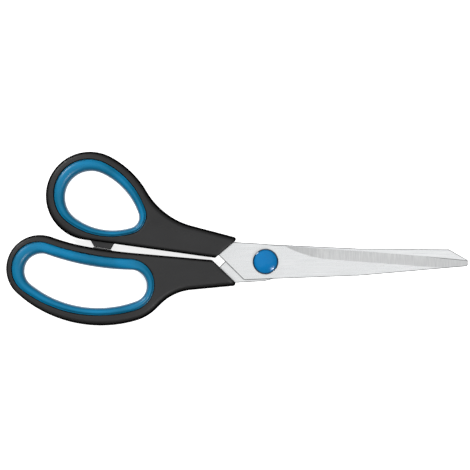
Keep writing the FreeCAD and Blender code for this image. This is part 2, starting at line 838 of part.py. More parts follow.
def export(pieces):
    """Check each piece's solid and write it to a file of its own."""
    os.makedirs("parts", exist_ok=True)
    for piece in pieces:
        shape = piece.Shape
        if shape.isNull() or not shape.isValid() or len(shape.Solids) != 1:
            raise RuntimeError("%s is not one valid solid" % piece.Label)
        shape.exportStep("parts/%s.step" % piece.Label)
        print("%-14s %9.2f mm3  %s" % (piece.Label, shape.Volume, shape.BoundBox))


def main():
    doc = FreeCAD.newDocument("scissors")
    fill_sheet(doc)
    pieces = finger_half(doc) + thumb_half(doc)
    pieces += [pivot_screw(doc), glide_washer(doc), spring_washer(doc), pivot_nut(doc)]
    pieces += [front_cap(doc), rear_cap(doc)]
    doc.recompute()
    check_document(doc)
    export(pieces)


main()
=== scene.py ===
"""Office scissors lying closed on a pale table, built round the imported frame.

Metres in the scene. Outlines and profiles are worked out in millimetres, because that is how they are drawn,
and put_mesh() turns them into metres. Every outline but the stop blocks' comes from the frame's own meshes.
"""
import math

import bmesh
import bpy
import numpy as np
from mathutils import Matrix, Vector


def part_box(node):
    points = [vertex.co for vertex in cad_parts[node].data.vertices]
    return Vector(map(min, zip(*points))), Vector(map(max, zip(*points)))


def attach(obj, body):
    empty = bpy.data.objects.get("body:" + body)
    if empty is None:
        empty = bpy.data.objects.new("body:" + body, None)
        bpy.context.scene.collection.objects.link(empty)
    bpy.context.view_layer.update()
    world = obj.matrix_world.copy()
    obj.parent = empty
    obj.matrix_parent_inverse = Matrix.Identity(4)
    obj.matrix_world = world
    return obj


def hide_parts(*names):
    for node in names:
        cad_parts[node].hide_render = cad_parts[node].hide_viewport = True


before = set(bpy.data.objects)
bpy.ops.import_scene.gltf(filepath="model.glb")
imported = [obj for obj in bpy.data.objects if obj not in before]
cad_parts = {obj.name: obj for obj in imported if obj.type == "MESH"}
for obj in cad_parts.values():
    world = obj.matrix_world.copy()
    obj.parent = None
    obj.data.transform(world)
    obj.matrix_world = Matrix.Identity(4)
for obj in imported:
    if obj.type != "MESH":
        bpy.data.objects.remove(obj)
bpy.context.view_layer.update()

MM = 0.001

# --------------------------------------------------------------------------- sizes in millimetres
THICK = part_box("thumb_grip")[1].z / MM      # handles and liners are this thick

EDGE_ROLL = 2.8                             # rounding round the outside of a handle
ROLL_SHARE = 0.62                           # most of the ring's width that this rounding may take
ROLL_SPAN = 25                              # outline points over which it changes smoothly
NOSE_ROLL = 0.7                             # rounding of the top of the slanted front face
NOSE_CORNER = 1.1                           # rounding of its two upright corners, seen from above
PARTING = 0.07                              # depth of the mould's parting line
PARTING_HALF = 0.22                         # half its width
LAND_CROWN = 0.12                           # how much the flat of a handle rises towards its middle
LIP = 0.45                                  # rounded lip beside the joint between handle and liner
JOINT_DEPTH = 0.85                          # depth of that joint
WEB = 1.3                                   # how far the handle's hidden web reaches into the liner
WEB_HALF = 1.5                              # half the web's height

LINER_SINK = 0.65                           # how far a liner lies below the handle beside the joint
LINER_WALL = 1.0                            # half the upright stretch of a liner's inner wall
LINER_ROLL = 0.58                           # share of a liner's width that its inner rounding takes
FULLNESS = 2.2                              # exponent of that rounding: 2 is an ellipse, more is squarer
LINER_ROUND = 2.2                           # rounding of a liner's inner edges in the frame

STOP_FACE = ((-78.0, 6.8), (-70.5, 5.5))    # the line on which the closed handles meet
STOP_FLARE = 2.6                            # how much a stop widens towards its root
STOP_ROOT = 4.6                             # how far the thumb's stop reaches back into its handle
STOP_DROP = 1.3                             # the same for the finger's stop
STOP_GAP = 0.1                              # gap between the closed stops
STOP_HALF = 3.0                             # half a stop's height
STOP_ROUND = 0.45                           # rounding of a stop's edges

CAP_FOOT = 0.2                              # chamfer under the front cap's rim
CAP_SHOULDER = 1.4                          # rounding between the front cap's rim and its dome
CAP_SLOPE = 16.0                            # slope of the dome where it meets the shoulder, in degrees
REAR_ROUND = 0.6                            # rounding of the rear cap's lower edge
REAR_CHAMFER = 0.15                         # chamfer of its upper edge
DISH = 0.2                                  # depth of the dish in its end
DISH_RADIUS = 3.6                           # radius of the dish's floor
DISH_SLOPE = 0.3                            # width of the dish's sloping side

CHAMFER = 0.28                              # broken edge of a stamped blade
TOP_BREAK = 0.65                            # most of a side's height that its upper chamfer may take
LOWER_BREAK = 0.15                          # the same for its lower chamfer
FINE_STEP = 0.14                            # blade outline points nearer than this are joined

SAME_POINT = 0.002                          # points of a modelled surface nearer than this are one
NO_LENGTH = 0.0001                          # an edge shorter than this is none
CAD_WELD = 0.001                            # the CAD's loose triangles are welded within this

# --------------------------------------------------------------------------- how the outlines are read
STRAIGHT = 12.0                             # a span of an outline longer than this is a straight side
SLANT_LEAN = 0.4                            # the slanted front face looks ahead at least this much,
SLANT_LENGTH = 6.0                          # is at least this long,
SLANT_ZONE = 16.0                           # and lies this near to the handle's front end
FLANK_LENGTH = 4.0                          # the straight flanks next to it are longer than this
HUB_AHEAD = 5.0                             # outlines go round a point this far before the loop
SLIDE = 0.35                                # share of the shank over which its flat turns into the loop's
SPINE_REACH = 0.93                          # share of the way to the slanted face at which the spine ends
SPINE_FOOT = 0.012                          # share of the spine at which it leaves the seam

# --------------------------------------------------------------------------- steps over the surfaces
SPAN_STEPS = 24                             # points on one span of a smoothed outline
SIDE_STEPS = 640                            # points along the smooth side of a handle,
FLANK_STEPS = 60                            # along the straight flanks at its ends,
CORNER_STEPS = 9                            # round a corner,
SLANT_STEPS = 30                            # and across the slanted face
SEAM_STEPS = 110                            # points of the seam on the handle's side
SPINE_STEPS = 14                            # points of the spine
LINER_STEPS = 260                           # points round a liner
TURN_STEPS = 128                            # points round a turned part
ROLL_ROWS = 12                              # rows over the rounded edge of a handle,
LINER_ROWS = 15                             # over a liner's inner rounding,
STOP_ROWS = 7                               # and over a stop's rounded edge
LAND_SHARES = (0.08, 0.2, 0.36, 0.55, 0.75, 0.9)    # rows over the flat of a handle
RISE_SHARES = (0.25, 0.5, 0.75)             # rows between a liner's lip and its crest

# --------------------------------------------------------------------------- limits, in degrees or shares
MOULDING_SHARP = 38                         # edges sharper than this are shaded as edges on mouldings
BLADE_SHARP = 12                            # and on blades
SAME_PLANE = 0.3                            # blade faces closer than this in slope are made one
FLAT_LIMIT = 0.995                          # a blade's flats look upwards at least this much,
BEVEL_LIMIT = 0.85                          # and its ground bevels at least this much
UPRIGHT_LIMIT = 0.9                         # an upright edge climbs by this share of its length

# --------------------------------------------------------------------------- light, and view in metres
TABLE_GLOW = 0.78                           # strength of the light from the table's own surface
SURROUND_GLOW = 0.3                         # and of the white surroundings
TABLE_HALF = 3                              # half the table's side
VIEW_X, VIEW_Y = -0.0139, 0.0121            # the camera looks straight down at this point of the table,
VIEW_HEIGHT = 2.0                           # from this far above the middle of the handles,
VIEW_WIDTH = 0.2141                         # and sees this width


# --------------------------------------------------------------------------- meshes
def put_piece(name, mesh, body, replaced):
    """Put a mesh in the scene as one piece, attached to the body it rides on, and hide the CAD part it
    stands for.
    """
    piece = bpy.data.objects.new(name, mesh)
    bpy.context.scene.collection.objects.link(piece)
    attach(piece, body)
    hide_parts(replaced)
    return piece


def put_mesh(name, points, faces, body, slot, material, replaced):
    """Make one closed piece from points in millimetres, with its normals turned outwards."""
    mesh = bpy.data.meshes.new(name)
    mesh.from_pydata((np.asarray(points) * MM).tolist(), [], faces)
    work = bmesh.new()
    work.from_mesh(mesh)
    bmesh.ops.remove_doubles(work, verts=work.verts, dist=SAME_POINT * MM)
    bmesh.ops.dissolve_degenerate(work, edges=work.edges, dist=NO_LENGTH * MM)
    bmesh.ops.recalc_face_normals(work, faces=work.faces)
    work.to_mesh(mesh)
    work.free()
    mesh.shade_smooth()
    mesh.set_sharp_from_angle(angle=math.radians(MOULDING_SHARP))
    mesh.materials.append(material)
    put_piece(name, mesh, body, replaced)


def grid_faces(rows, columns, start=0):
    """Quads between rings of points, one ring a row, whose last column joins the first."""
    row, column = np.meshgrid(np.arange(rows - 1), np.arange(columns), indexing="ij")
    beside = (column + 1) % columns
    corners = [row * columns + column, row * columns + beside,
               (row + 1) * columns + beside, (row + 1) * columns + column]
    return (np.stack(corners, -1).reshape(-1, 4) + start).tolist()


def lathe(profile):
    """A turned solid: each profile point (radius, height) goes round the pivot axis, and both ends lie on
    it, so the solid is closed."""
    profile = np.array(profile)
    turn = np.linspace(0, 2 * math.pi, TURN_STEPS, endpoint=False)
    radius, height = profile[:, :1], profile[:, 1:]
    points = np.stack([radius * np.cos(turn), radius * np.sin(turn), height + 0 * turn], -1)
    return points.reshape(-1, 3), grid_faces(len(profile), TURN_STEPS)


def arc(centre, radius, start, end, steps):
    """Points of a circular arc from the start to the end angle, in degrees."""
    angle = np.radians(np.linspace(start, end, steps))
    return [(centre[0] + radius * math.cos(a), centre[1] + radius * math.sin(a)) for a in angle]


def level(plan, height):
    """Plan points at one height, or each at its own."""
    return np.column_stack([plan, np.full(len(plan), height)])


def mirrored(rows):
    """Rows of the upper half as the lower half's, in the same order."""
    return [row * (1, 1, -1) + (0, 0, THICK) for row in rows]


# --------------------------------------------------------------------------- outlines of the frame
def merged(node):
    """Points in millimetres and triangles of a CAD node, with the points that coincide made one."""
    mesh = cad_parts[node].data
    points = np.array([vertex.co for vertex in mesh.vertices]) / MM
    triangles = np.array([polygon.vertices[:] for polygon in mesh.polygons])
    points, index = np.unique(np.round(points, 4), axis=0, return_inverse=True)
    return points, index.reshape(-1)[triangles]


def top_rims(node):
    """The closed rims of a CAD node's flat top as plan points, the longest first. Each has the flat on its
    left, so the outer one turns left."""
    points, triangles = merged(node)
    flat = triangles[(points[triangles][:, :, 2] > points[:, 2].max() - 1e-3).all(1)]
    edges = np.concatenate([flat[:, [0, 1]], flat[:, [1, 2]], flat[:, [2, 0]]])
    backwards = set(map(tuple, edges[:, ::-1].tolist()))
    following = dict(edge for edge in map(tuple, edges.tolist()) if edge not in backwards)
    rims = []
    while following:
        rim = [next(iter(following))]
        while rim[-1] in following:
            rim.append(following.pop(rim[-1]))
        rims.append(points[rim[:-1], :2])
    return sorted(rims, key=lambda rim: -np.hypot(*(np.roll(rim, -1, 0) - rim).T).sum())


def smoothed(points, closed=True):
    """A smooth line through the points: cubic spans whose end slopes are those of the circle through each
    point and its two neighbours. A straight side gives its own slope."""
    chords = np.roll(points, -1, 0) - points
    lengths = np.maximum(np.hypot(*chords.T), 1e-9)
    along = chords / lengths[:, None]
    before, length_before = np.roll(along, 1, 0), np.roll(lengths, 1)
    slope = along * length_before[:, None] + before * lengths[:, None]
    if not closed:
        slope[0] = 2 * along[0] * (slope[1] @ along[0]) - slope[1]
        slope[-1] = 2 * before[-1] * (slope[-2] @ before[-1]) - slope[-2]
    slope /= np.hypot(*slope.T)[:, None]
    is_side = (lengths > STRAIGHT) & (closed | (np.arange(len(points)) < len(points) - 1))
    slope[is_side] = along[is_side]
    slope[np.roll(is_side, 1)] = before[np.roll(is_side, 1)]
    u = np.linspace(0, 1, SPAN_STEPS, endpoint=False)[None, :, None]
    start, end = points[:, None], np.roll(points, -1, 0)[:, None]
    leave = slope[:, None] * lengths[:, None, None]
    arrive = np.roll(slope, -1, 0)[:, None] * lengths[:, None, None]
    line = ((2 * u ** 3 - 3 * u ** 2 + 1) * start + (u ** 3 - 2 * u ** 2 + u) * leave
            + (3 * u ** 2 - 2 * u ** 3) * end + (u ** 3 - u ** 2) * arrive)
    line = line if closed else line[:-1]
    line = line.reshape(-1, 2)
    return line if closed else np.vstack([line, points[-1:]])


def even(line, count, closed=True):
    """Count points at even steps along a line."""
    ring = np.vstack([line, line[:1]]) if closed else line
    run = np.concatenate([[0], np.cumsum(np.hypot(*np.diff(ring, axis=0).T))])
    at = np.linspace(0, run[-1], count, endpoint=not closed)
    return np.stack([np.interp(at, run, ring[:, 0]), np.interp(at, run, ring[:, 1])], 1)


def outward(line, closed=True):
    """Unit normals on the right of a line, which is the outside of one that turns left."""
    slope = np.roll(line, -1, 0) - np.roll(line, 1, 0) if closed else np.gradient(line, axis=0)
    slope /= np.hypot(*slope.T)[:, None]
    return np.stack([slope[:, 1], -slope[:, 0]], 1)


def wall_ring(node, height, hub):
    """Plan points of a CAD node at the height where its upright wall ends, in order round the hub to the
    left."""
    points, _ = merged(node)
    wall = points[abs(points[:, 2] - height) < 2e-3][:, :2]
    wall = np.unique(np.round(wall, 3), axis=0)
    away = wall - hub
    return wall[np.argsort(np.arctan2(away[:, 1], away[:, 0]))]


# --------------------------------------------------------------------------- handles
def meet(point, along, wall_point, wall_normal):
    """Where the line through a point meets a straight wall."""
    return point + along * ((wall_point - point) @ wall_normal) / (along @ wall_normal)


def corner_arc(corner, one, two, radius):
    """Rounded corner: the arc that touches the sides towards one and towards two."""
    first = (one - corner) / np.hypot(*(one - corner))
    second = (two - corner) / np.hypot(*(two - corner))
    half = math.acos(first @ second) / 2
    centre = corner + (first + second) / np.hypot(*(first + second)) * radius / math.sin(half)
    start = corner + first * radius / math.tan(half) - centre
    end = corner + second * radius / math.tan(half) - centre
    turn = np.linspace(0, 1, CORNER_STEPS)[:, None]
    sweep = math.acos(np.clip(start @ end / radius ** 2, -1, 1))
    return centre + (np.sin((1 - turn) * sweep) * start + np.sin(turn * sweep) * end) / math.sin(sweep)


class Shell:
    """The outline of a handle: a smooth side that runs from one front corner round the loop to the other,
    a straight flank at each of its ends, and the straight slanted face between the corners."""

    def __init__(self, node, hub):
        ring = wall_ring(node, EDGE_ROLL, hub)
        steps = np.roll(ring, -1, 0) - ring
        lengths = np.hypot(*steps.T)
        slant = np.stack([steps[:, 1], -steps[:, 0]], 1) / lengths[:, None]
        in_zone = ring[:, 0] > ring[:, 0].max() - SLANT_ZONE
        ahead = (slant[:, 0] > SLANT_LEAN) & (lengths > SLANT_LENGTH) & in_zone
        face = int(np.argmax(np.where(ahead, lengths, 0)))
        self.face_point, self.face_normal = ring[face], slant[face]
        ring = np.roll(ring, -face - 1, 0)
        long = np.flatnonzero(np.hypot(*np.diff(ring, axis=0).T) > FLANK_LENGTH)
        first, last = long[0], long[-1]
        self.upper = (ring[first] - ring[first + 1]) / np.hypot(*(ring[first] - ring[first + 1]))
        self.lower = (ring[last + 1] - ring[last]) / np.hypot(*(ring[last + 1] - ring[last]))
        side = smoothed(ring[first + 1:last + 1], closed=False)
        self.side = even(side, SIDE_STEPS, closed=False)
        self.normals = outward(self.side, closed=False)
        self.normals[0] = -self.upper[1], self.upper[0]
        self.normals[-1] = self.lower[1], -self.lower[0]

    def row(self, side_inset, face_inset):
        """The outline drawn in by one distance along its side and another at the slanted face."""
        side = self.side - self.normals * np.reshape(side_inset, (-1, 1))
        wall = self.face_point - self.face_normal * face_inset
        high = meet(side[0], self.upper, wall, self.face_normal)
        low = meet(side[-1], self.lower, wall, self.face_normal)
        high_arc = corner_arc(high, low, side[0], NOSE_CORNER)
        low_arc = corner_arc(low, side[-1], high, NOSE_CORNER)
        flank = np.linspace(0, 1, FLANK_STEPS + 2)[1:-1, None]
        slant = np.linspace(0, 1, SLANT_STEPS + 2)[1:-1, None]
        return np.vstack([
            high_arc, high_arc[-1] + (side[0] - high_arc[-1]) * flank, side,
            side[-1] + (low_arc[0] - side[-1]) * flank, low_arc,
            low_arc[-1] + (high_arc[0] - low_arc[-1]) * slant,
        ])


def inner_path(outline, seam, middle):
    """What each point of the outline is joined to across the handle's flat: a point of the seam round the
    loop, or of a spine line that runs from the seam to the slanted face. The path goes down the spine, once
    round the seam and up the spine again. A point's place on it comes from its angle round the loop's middle
    beside the loop, and from how far ahead it lies beside the spine. Between two neighbours the place rises
    by one step or none, so no point of the path is left out."""
    nose = (outline[0] + outline[-SLANT_STEPS - 1]) / 2
    toward = (nose - middle) / np.hypot(*(nose - middle))
    angle = np.unwrap(np.arctan2(*(seam - middle).T[::-1]))
    ahead = math.atan2(toward[1], toward[0])
    start = int(np.argmin(abs((angle - ahead + math.pi) % (2 * math.pi) - math.pi)))
    seam = np.roll(seam, -start, 0)
    root = seam[0]
    spine_end = root + (nose - root) * SPINE_REACH
    share = np.linspace(1, SPINE_FOOT, SPINE_STEPS)[:, None]
    spine = root + (spine_end - root) * share
    path = np.vstack([spine, seam, root[None], spine[::-1]])
    seam_angle = (np.arctan2(*(seam - middle).T[::-1]) - ahead) % (2 * math.pi)
    seam_angle[0] = 0
    seam_angle = np.append(seam_angle, 2 * math.pi)

    along = (outline - root) @ toward
    reach = (spine_end - root) @ toward
    slide = SLIDE * reach
    own_angle = (np.arctan2(*(outline - middle).T[::-1]) - ahead) % (2 * math.pi)
    on_seam = np.interp(own_angle, seam_angle, np.arange(SEAM_STEPS + 1.0))
    upper = own_angle < math.pi
    seam_end = np.where(upper, 0.0, SEAM_STEPS)
    blend = np.clip(along / slide, 0, 1)
    place = SPINE_STEPS + on_seam + (seam_end - on_seam) * blend
    spine_place = np.clip((along - slide) / (reach - slide), 0, 1) * SPINE_STEPS
    place = np.where(upper, place - spine_place, place + spine_place)
    place = np.maximum.accumulate(np.clip(np.round(place), 0, len(path) - 1))
    place[0] = 0
    count = np.arange(len(place))
    return path, (count + np.minimum.accumulate(place - count)).astype(int)


def edge_roll(shell, seam):
    """How far the rounding reaches in from each point of the side: less where the ring is narrow. It is
    averaged along the outline with a bell-shaped weight."""
    near = np.sqrt(((shell.side[:, None] - seam[None]) ** 2).sum(2)).min(1)
    roll = np.minimum(EDGE_ROLL, near * ROLL_SHARE)
    bell = np.hanning(ROLL_SPAN) / np.hanning(ROLL_SPAN).sum()
    return np.convolve(np.pad(roll, ROLL_SPAN // 2, mode="edge"), bell, mode="valid")


def rolled_rows(shell, roll):
    """Rows from the top of the side wall up to the flat. The outline is drawn in by roll * (1 - cos) and
    rises by roll * sin, while the slanted face keeps its own small rounding."""
    ends = FLANK_STEPS + CORNER_STEPS
    roll_all = np.pad(roll, (ends, ends + SLANT_STEPS), mode="edge")
    rows = []
    for turn in np.radians(np.linspace(0, 90, ROLL_ROWS)):
        rise = THICK - EDGE_ROLL * (1 - math.sin(turn))
        over = max(0.0, rise - (THICK - NOSE_ROLL))
        face_inset = NOSE_ROLL - math.sqrt(NOSE_ROLL ** 2 - over ** 2)
        plan = shell.row(roll * (1 - math.cos(turn)), face_inset)
        rows.append(level(plan, THICK - roll_all * (1 - math.sin(turn)) - LAND_CROWN))
    return rows


def land_rows(edge, inner, on_seam):
    """Rows over the flat, which rises in a parabola towards the inner path, and then over a quarter-round
    lip down into the joint with the liner."""
    width = np.maximum(np.hypot(*(edge - inner).T), 1e-6)[:, None]
    lip = np.minimum(LIP / width, 0.5)
    rows = []
    for share in LAND_SHARES:
        plan = edge + (inner - edge) * (share * (1 - lip))
        rows.append(level(plan, THICK - LAND_CROWN * (1 - share) ** 2))
    for turn in np.radians([0, 30, 60, 90]):
        plan = inner + (edge - inner) * lip * (1 - math.sin(turn))
        rows.append(level(plan, THICK - np.where(on_seam, JOINT_DEPTH * (1 - math.cos(turn)), 0)))
    return rows


def handle(side):
    """The hard handle: rows of points round the outline, each a step further along a section that comes from
    the seam or the spine, over the flat, down the rounded edge and the side wall, and back underneath. The
    wall towards the liner and the stop block are closed with it."""
    seam = even(smoothed(top_rims(side + "_grip")[0]), SEAM_STEPS)
    hub = seam[np.argmax(seam[:, 0])] + (HUB_AHEAD, 0)
    shell = Shell(side + "_handle", hub)
    roll = edge_roll(shell, seam)
    outline = shell.row(0 * roll, 0)
    path, place = inner_path(outline, seam, seam.mean(0))
    on_seam = (place >= SPINE_STEPS) & (place <= SPINE_STEPS + SEAM_STEPS)
    top = rolled_rows(shell, roll)
    top += land_rows(top[-1][:, :2], path[place], on_seam)
    groove = shell.row(PARTING + 0 * roll, PARTING)
    parting = [level(outline, THICK / 2 + PARTING_HALF), level(groove, THICK / 2),
               level(outline, THICK / 2 - PARTING_HALF)]
    rows = top[::-1] + parting + mirrored(top)
    points = np.vstack(rows)
    faces = grid_faces(len(rows), len(outline))

    web = seam - outward(seam) * WEB
    wall = [level(seam, JOINT_DEPTH), level(seam, THICK / 2 - WEB_HALF), level(web, THICK / 2 - WEB_HALF)]
    wall += mirrored(wall[::-1])
    faces += grid_faces(len(wall), SEAM_STEPS, start=len(points))
    points = np.vstack([points] + wall)
    stop_points, stop_faces = stop_block(side, len(points))
    return np.vstack([points, stop_points]), faces + stop_faces


def stop_block(side, start):
    """The small block that meets the other handle when the scissors close: a tapered outline with rounded
    corners, drawn in towards its top and bottom along a quarter circle, and closed at its middle."""
    (left_x, left_y), (right_x, right_y) = STOP_FACE
    if side == "thumb":
        corners = [(left_x, left_y), (right_x, right_y), (right_x + STOP_FLARE, right_y + STOP_ROOT),
                   (left_x - STOP_FLARE, left_y + STOP_ROOT)]
    else:
        corners = [(left_x - STOP_FLARE, left_y - STOP_DROP), (right_x + STOP_FLARE, right_y - STOP_DROP),
                   (right_x, right_y - STOP_GAP), (left_x, left_y - STOP_GAP)]
    corners = np.array(corners)
    neighbours = zip(corners, np.roll(corners, 1, 0), np.roll(corners, -1, 0))
    outline = np.vstack([corner_arc(here, before, after, STOP_ROUND) for here, before, after in neighbours])
    centre = corners.mean(0)
    shrink = 1 - STOP_ROUND / np.hypot(*(corners - centre).T).mean()
    rows = []
    for turn in np.radians(np.linspace(90, 0, STOP_ROWS)):
        drawn = centre + (outline - centre) * (1 - (1 - shrink) * (1 - math.cos(turn)))
        rows.append(level(drawn, THICK / 2 + STOP_HALF - STOP_ROUND * (1 - math.sin(turn))))
    rows = [level(centre + 0 * outline, THICK / 2 + STOP_HALF)] + rows
    rows += mirrored(rows[::-1])
    return np.vstack(rows), grid_faces(len(rows), len(outline), start=start)


# --------------------------------------------------------------------------- liners
def liner(side):
    """The soft liner of a loop: one convex section carried round between the seam and the opening. It is
    level and slightly sunk at the seam, rises in a parabola to its crest, and falls as a superellipse to an
    upright inner wall."""
    node = side + "_grip"
    seam = even(smoothed(top_rims(node)[0]), LINER_STEPS)
    middle = seam.mean(0)
    opening = even(smoothed(wall_ring(node, LINER_ROUND, middle)), 4 * LINER_STEPS)
    opening_angle = np.arctan2(*(opening - middle).T[::-1])
    order = np.argsort(opening_angle)
    seam_angle = np.arctan2(*(seam - middle).T[::-1])
    inner = np.column_stack([
        np.interp(seam_angle, opening_angle[order], line, period=2 * math.pi) for line in opening[order].T])
    lip_share = LIP / np.hypot(*(inner - seam).T)[:, None]
    crest = 1 - LINER_ROLL
    top = [level(seam, THICK - JOINT_DEPTH)]
    for turn in np.radians([30, 60, 90]):
        share = lip_share * (1 - math.cos(turn))
        sunk = LINER_SINK + (JOINT_DEPTH - LINER_SINK) * (1 - math.sin(turn))
        top.append(level(seam + (inner - seam) * share, THICK - sunk))
    for step in RISE_SHARES:
        share = lip_share + (crest - lip_share) * step
        top.append(level(seam + (inner - seam) * share, THICK - LINER_SINK * (1 - step) ** 2))
    for turn in np.radians(np.linspace(0, 90, LINER_ROWS)):
        share = crest + LINER_ROLL * math.sin(turn) ** (2 / FULLNESS)
        fall = (THICK / 2 - LINER_WALL) * (1 - math.cos(turn) ** (2 / FULLNESS))
        top.append(level(seam + (inner - seam) * share, THICK - fall))
    web = seam - outward(seam) * WEB
    back = [level(seam, THICK / 2 - WEB_HALF), level(web, THICK / 2 - WEB_HALF),
            level(web, THICK / 2 + WEB_HALF), level(seam, THICK / 2 + WEB_HALF), top[0]]
    rows = top + mirrored(top[::-1]) + back
    return np.vstack(rows), grid_faces(len(rows), LINER_STEPS)


# --------------------------------------------------------------------------- pivot caps
def front_cap_profile():
    """Half the section of the domed cap: a flat foot, an upright rim, a rounded shoulder, a shallow dome."""
    low, high = (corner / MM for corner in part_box("front_cap"))
    radius = high.x
    slope = math.radians(CAP_SLOPE)
    dome = (radius - CAP_SHOULDER) / math.sin(slope) + CAP_SHOULDER
    shoulder = (radius - CAP_SHOULDER, high.z - dome + (dome - CAP_SHOULDER) * math.cos(slope))
    profile = [(0, low.z), (radius - CAP_FOOT, low.z), (radius, low.z + CAP_FOOT)]
    profile += arc(shoulder, CAP_SHOULDER, 0, 90 - CAP_SLOPE, 12)
    profile += arc((0, high.z - dome), dome, 90 - CAP_SLOPE, 90, 14)[1:]
    return profile


def rear_cap_profile():
    """Half the section of the flat rear cap: a rounded edge and a shallow dish in the end that lies down."""
    low, high = (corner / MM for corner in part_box("rear_cap"))
    radius = high.x
    profile = [(0, low.z + DISH), (DISH_RADIUS, low.z + DISH), (DISH_RADIUS + DISH_SLOPE, low.z)]
    profile += arc((radius - REAR_ROUND, low.z + REAR_ROUND), REAR_ROUND, -90, 0, 9)
    return profile + [(radius, high.z - REAR_CHAMFER), (radius - REAR_CHAMFER, high.z), (0, high.z)]


# --------------------------------------------------------------------------- blades
# the third finish, on upright sides and broken edges, is rougher steel painted dark grey: painted shade and
# painted dark reflection
FLAT_FINISH, BEVEL_FINISH, EDGE_FINISH_AND_SHADE = 0, 1, 2


def finish_of(face):
    """Which of a blade's three finishes a face has, from how nearly its normal is upright."""
    upward = abs(face.normal.z)
    if upward > FLAT_LIMIT:
        return FLAT_FINISH
    return BEVEL_FINISH if upward > BEVEL_LIMIT else EDGE_FINISH_AND_SHADE


def is_upright(edge):
    """Whether an edge stands straight up."""
    return abs(edge.verts[0].co.z - edge.verts[1].co.z) > UPRIGHT_LIMIT * edge.calc_length()


def chamfer_share(edge):
    """How much of the full chamfer an edge gets: none between two faces of the same kind, and on a thin side
    only what the side's least height leaves."""
    sides = [face for face in edge.link_faces if face.material_index == EDGE_FINISH_AND_SHADE]
    if len(sides) != 1:
        return 0.0
    least = min((rib.calc_length() for rib in sides[0].edges if is_upright(rib)), default=0) / MM
    above = sum(vert.co.z for vert in edge.verts) / 2 > sides[0].calc_center_median().z
    return min(1.0, (TOP_BREAK if above else LOWER_BREAK) * least / CHAMFER)


def blade(name, body, materials):
    """A blade with the stamped outline and ground bevel of the frame, and every sharp edge broken."""
    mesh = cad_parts[name].data.copy()
    mesh.name = name + "_steel"
    work = bmesh.new()
    work.from_mesh(mesh)
    bmesh.ops.remove_doubles(work, verts=work.verts, dist=CAD_WELD * MM)
    bmesh.ops.dissolve_limit(work, angle_limit=math.radians(SAME_PLANE), verts=work.verts, edges=work.edges)
    bmesh.ops.remove_doubles(work, verts=work.verts, dist=FINE_STEP * MM)
    work.normal_update()
    for face in work.faces:
        face.material_index = finish_of(face)
        face.smooth = True
    weight = work.edges.layers.float.new("bevel_weight_edge")
    for edge in work.edges:
        edge[weight] = chamfer_share(edge)
    mesh.materials.clear()
    for material in materials:
        mesh.materials.append(material)
    work.to_mesh(mesh)
    work.free()
    mesh.set_sharp_from_angle(angle=math.radians(BLADE_SHARP))
    piece = put_piece(name + "_steel", mesh, body, name)
    broken = piece.modifiers.new("broken_edges", "BEVEL")
    broken.width = CHAMFER * MM
    broken.segments = 2
    broken.limit_method = "WEIGHT"
    # the chamfers take the dark-painted edge steel: painted shade along the blade's edges
    broken.material = EDGE_FINISH_AND_SHADE
    broken.use_clamp_overlap = False
    broken.loop_slide = False
    broken.harden_normals = True


# --------------------------------------------------------------------------- materials
def linear(code, alpha=1.0):
    """An sRGB hex colour as linear numbers."""
    shares = [int(code[i:i + 2], 16) / 255 for i in (1, 3, 5)]
    return [c / 12.92 if c <= 0.04045 else ((c + 0.055) / 1.055) ** 2.4 for c in shares] + [alpha]


def add(tree, kind, inputs=None, **settings):
    """Add a node, set it up, and fill its inputs with values or with other nodes' outputs."""
    made = tree.nodes.new(kind)
    for name, value in settings.items():
        setattr(made, name, value)
    for name, value in (inputs or {}).items():
        if isinstance(value, bpy.types.NodeSocket):
            tree.links.new(value, made.inputs[name])
        else:
            made.inputs[name].default_value = value
    return made


def new_material(name, **uniform):
    """A material, its node tree and its shader. The values that are the same all over are set on the
    shader; their names have a low line for each space."""
    material = bpy.data.materials.new(name)
    material.use_nodes = True
    shader = material.node_tree.nodes["Principled BSDF"]
    for socket, value in uniform.items():
        shader.inputs[socket.replace("_", " ")].default_value = value
    return material, material.node_tree, shader


CONTRAST = {"From Min": 0.3, "From Max": 0.7}     # most of a grain's values lie between these


def grain(tree, length, width, height, detail=2.0):
    """Noise on the piece itself whose spots are so many millimetres long in x, y and z."""
    place = add(tree, "ShaderNodeTexCoord")
    stretch = add(tree, "ShaderNodeMapping", {
        "Vector": place.outputs["Object"], "Scale": (1 / length / MM, 1 / width / MM, 1 / height / MM)})
    return add(tree, "ShaderNodeTexNoise", {
        "Vector": stretch.outputs["Vector"], "Scale": 1.0, "Detail": detail}).outputs["Fac"]


def tint(tree, amount, dark, light):
    """A colour that goes from dark to light with a grain."""
    share = add(tree, "ShaderNodeMapRange", {"Value": amount, **CONTRAST}).outputs["Result"]
    return add(tree, "ShaderNodeMix", {
        0: share, 6: linear(dark), 7: linear(light)}, data_type="RGBA").outputs[2]


def roughen(tree, shader, *parts):
    """Roughness that is a sum of parts: each a grain with the two values that it goes between."""
    total = 0.0
    for amount, low, high in parts:
        part = add(tree, "ShaderNodeMapRange", {"Value": amount, **CONTRAST, "To Min": low, "To Max": high})
        terms = {0: part.outputs["Result"], 1: total}
        total = add(tree, "ShaderNodeMath", terms, operation="ADD").outputs[0]
    tree.links.new(total, shader.inputs["Roughness"])


def emboss(tree, shader, amount, depth, strength):
    """The skin's relief: a grain raised by its depth in millimetres."""
    bump = add(tree, "ShaderNodeBump", {"Height": amount, "Distance": depth * MM, "Strength": strength})
    tree.links.new(bump.outputs["Normal"], shader.inputs["Normal"])


